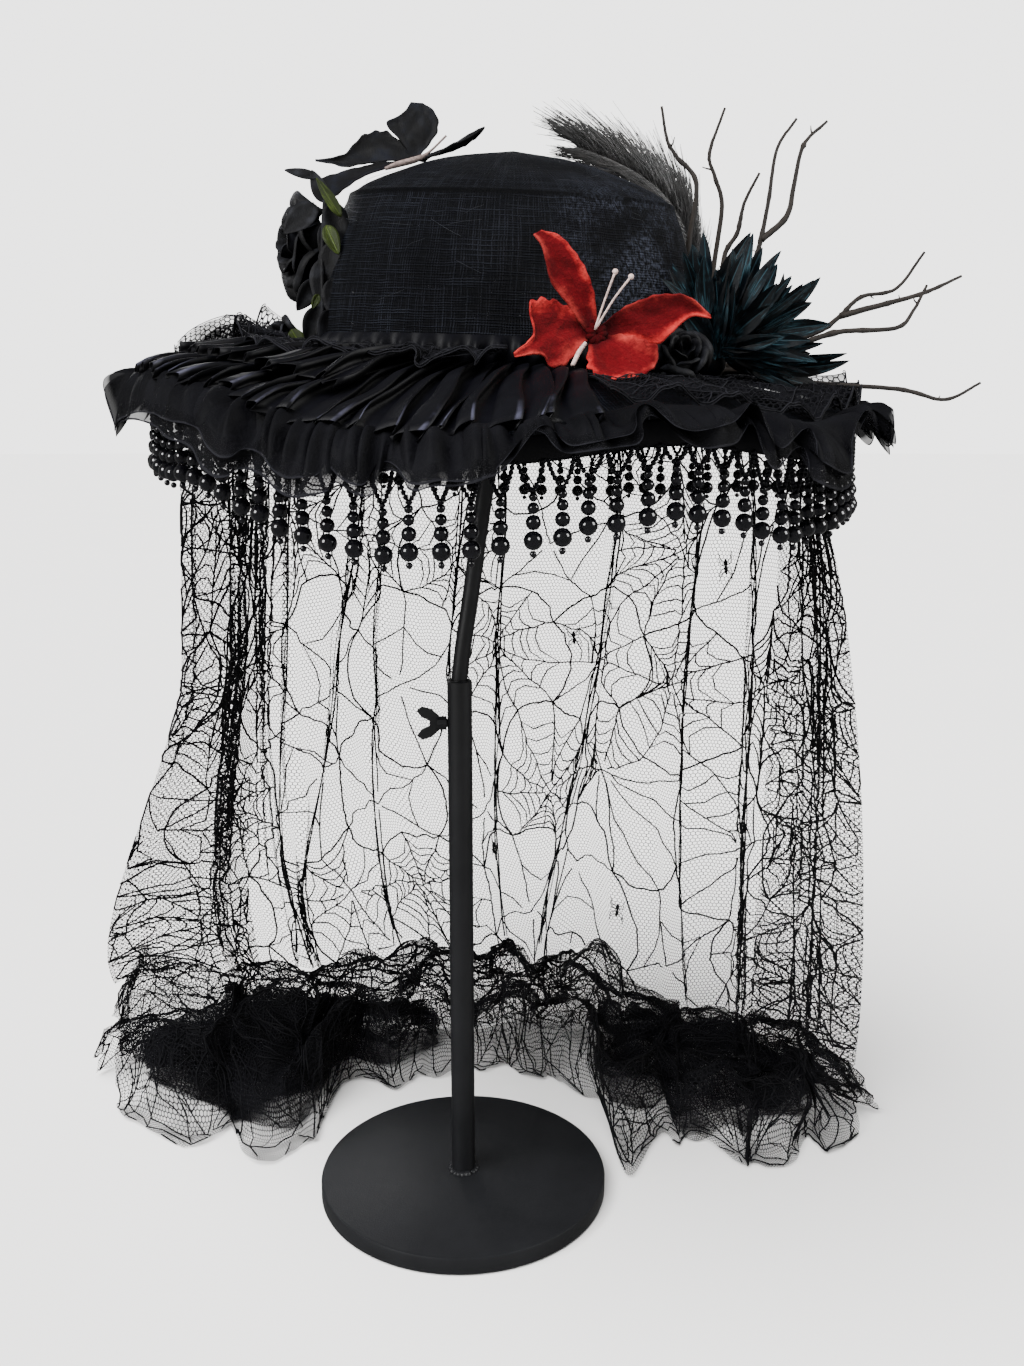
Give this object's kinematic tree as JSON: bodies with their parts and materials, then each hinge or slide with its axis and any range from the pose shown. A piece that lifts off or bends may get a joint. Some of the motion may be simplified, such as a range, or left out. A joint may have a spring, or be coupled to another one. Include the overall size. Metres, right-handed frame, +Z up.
{
  "type": "bonnet on a hat stand",
  "caption": "Black straw bonnet with pleated and ruffled brim, bead fringe, long lace veil, butterflies, roses and twigs, on a round-based adjustable hat stand.",
  "frame": {"origin": "centre of the underside of the stand's round base", "axes": "+Z up along the stand's tube, -Y towards the front of the bonnet, +X towards the side with the twigs"},
  "size_m": [0.5092, 0.389, 0.5777],
  "materials": {
    "black_metal": "matt black paint",
    "black_straw": "woven straw cloth",
    "black_satin": "satin and organza",
    "black_net": "net and lace",
    "black_beads": "polished",
    "red_velvet": "napped",
    "black_felt": "napped",
    "pale_stamen": "matt",
    "green_leaf": "dull",
    "teal_leaf": "satin sheen",
    "twig_bark": "rough",
    "grey_brown_plumage": "downy"
  },
  "bodies": {
    "root": {"stand_base": "black_metal", "stand_rod": "black_metal", "stand_wing_screw": "black_metal", "crown": "black_straw", "brim": "black_straw", "crown_band": "black_satin", "pleated_frill": "black_satin", "lace_gather": "black_net", "lace_frill": "black_net", "edge_ruffle": "black_satin", "bead_fringe": "black_beads", "veil_curtain": "black_net", "veil_pool": "black_net", "red_butterfly": "red_velvet", "red_butterfly_body": "pale_stamen", "crown_butterfly": "black_felt", "crown_butterfly_body": "pale_stamen", "left_rose": "black_felt", "left_rose_bud": "black_felt", "right_rose": "black_felt", "left_rose_leaves": "green_leaf", "leaf_spray": "teal_leaf", "twig_spray": "twig_bark", "feather_plume": "grey_brown_plumage"}
  },
  "joints": []
}
